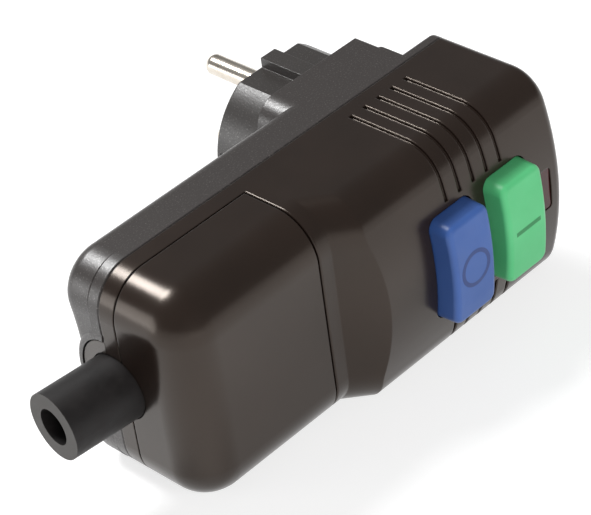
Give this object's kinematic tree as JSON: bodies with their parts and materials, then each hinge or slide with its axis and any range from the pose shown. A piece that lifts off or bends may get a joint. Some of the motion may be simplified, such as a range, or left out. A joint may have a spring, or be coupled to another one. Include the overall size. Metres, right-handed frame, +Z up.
{
  "type": "residual current device plug",
  "caption": "Earthed mains plug with a built-in residual current trip, test and reset buttons, indicator window, round plug face and rewirable cord end.",
  "frame": {"origin": "Middle of the bounding box, on the surface that the plug lies on.", "axes": "+X from the cord end to the far end, +Y from the buttons to the pins, +Z up; the plug lies on one long side."},
  "size_m": [0.119, 0.0884, 0.05],
  "materials": {
    "housing_matte": "fine sparkle texture, black",
    "housing_gloss": "semi-gloss black",
    "sleeve_rubber": "matt black rubber",
    "test_blue": "satin blue",
    "reset_green": "satin green",
    "lens": "clear dark red",
    "nickel": "nickel plate",
    "steel": "zinc plated",
    "brass": "drawn",
    "copper": "enamelled copper wire",
    "core": "boxed ferrite, dark grey",
    "board_green": "solder mask",
    "moulding_cream": "cream moulding",
    "moulding_black": "black moulding",
    "signal_red": "red",
    "insulation_brown": "brown insulation",
    "insulation_blue": "blue insulation",
    "insulation_earth": "green and yellow insulation",
    "capacitor_blue": "blue sleeve",
    "absorber_blue": "blue epoxy",
    "resistor_tan": "tan lacquer"
  },
  "bodies": {
    "plug_body": {"rear_housing": "housing_matte", "plug_insert": "housing_matte", "front_housing": "housing_gloss", "terminal_cover": "housing_gloss", "cable_sleeve": "sleeve_rubber", "window_lens": "lens", "live_pin": "nickel", "neutral_pin": "nickel", "earth_clip": "nickel", "earth_lead": "insulation_earth", "live_inlet_strip": "brass", "neutral_inlet_strip": "brass", "circuit_board": "board_green", "sensing_core": "core", "sensing_winding": "copper", "live_load_lead": "insulation_brown", "neutral_load_lead": "insulation_blue", "coil_bobbin": "moulding_cream", "coil_winding": "copper", "coil_yoke": "steel", "plunger_spring": "steel", "lever_pin": "steel", "contact_base": "moulding_black", "fixed_contacts": "brass", "button_guide": "moulding_cream", "test_spring": "steel", "reset_spring": "steel", "opening_spring": "steel", "test_leaf": "brass", "amplifier_chip": "moulding_black", "smoothing_capacitor": "capacitor_blue", "surge_absorber": "absorber_blue", "test_resistor": "resistor_tan", "terminal_block": "moulding_cream", "terminal_clamps": "brass", "terminal_screws": "steel", "cord_clamp": "moulding_cream", "cord_clamp_screws": "steel", "cover_screws": "steel", "housing_screws": "steel"},
    "test_button_body": {"test_button": "test_blue"},
    "reset_button_body": {"reset_button": "reset_green"},
    "plunger_body": {"trip_plunger": "steel"},
    "lever_body": {"latch_lever": "steel"},
    "contact_body": {"contact_carriage": "moulding_cream", "moving_contacts": "brass", "indicator_flag": "signal_red"}
  },
  "joints": [
    {"name": "test_press", "type": "slide", "parent": "plug_body", "child": "test_button_body", "axis": [0, 1, 0], "range_m": [0, 0.0018], "stiffness_N_per_m": 600, "springref_m": -0.001, "deforming": ["test_spring"]},
    {"name": "reset_press", "type": "slide", "parent": "plug_body", "child": "reset_button_body", "axis": [0, 1, 0], "range_m": [0, 0.003], "stiffness_N_per_m": 600, "springref_m": -0.001, "deforming": ["reset_spring"]},
    {"name": "trip_slide", "type": "slide", "parent": "plug_body", "child": "plunger_body", "axis": [-1, 0, 0], "range_m": [0, 0.0016], "stiffness_N_per_m": 200, "springref_m": -0.001, "deforming": ["plunger_spring"]},
    {"name": "latch_turn", "type": "hinge", "parent": "plug_body", "child": "lever_body", "pos_m": [0.0347, -0.0146, 0.025], "axis": [0, 0, -1], "range_deg": [0, 17.5]},
    {"name": "contact_slide", "type": "slide", "parent": "plug_body", "child": "contact_body", "axis": [0, -1, 0], "range_m": [0, 0.0025], "stiffness_N_per_m": 300, "springref_m": -0.001, "deforming": ["opening_spring"]}
  ],
  "couplings": [
    {"joint": "latch_turn", "follows": "trip_slide", "rad_per_m": 190}
  ]
}
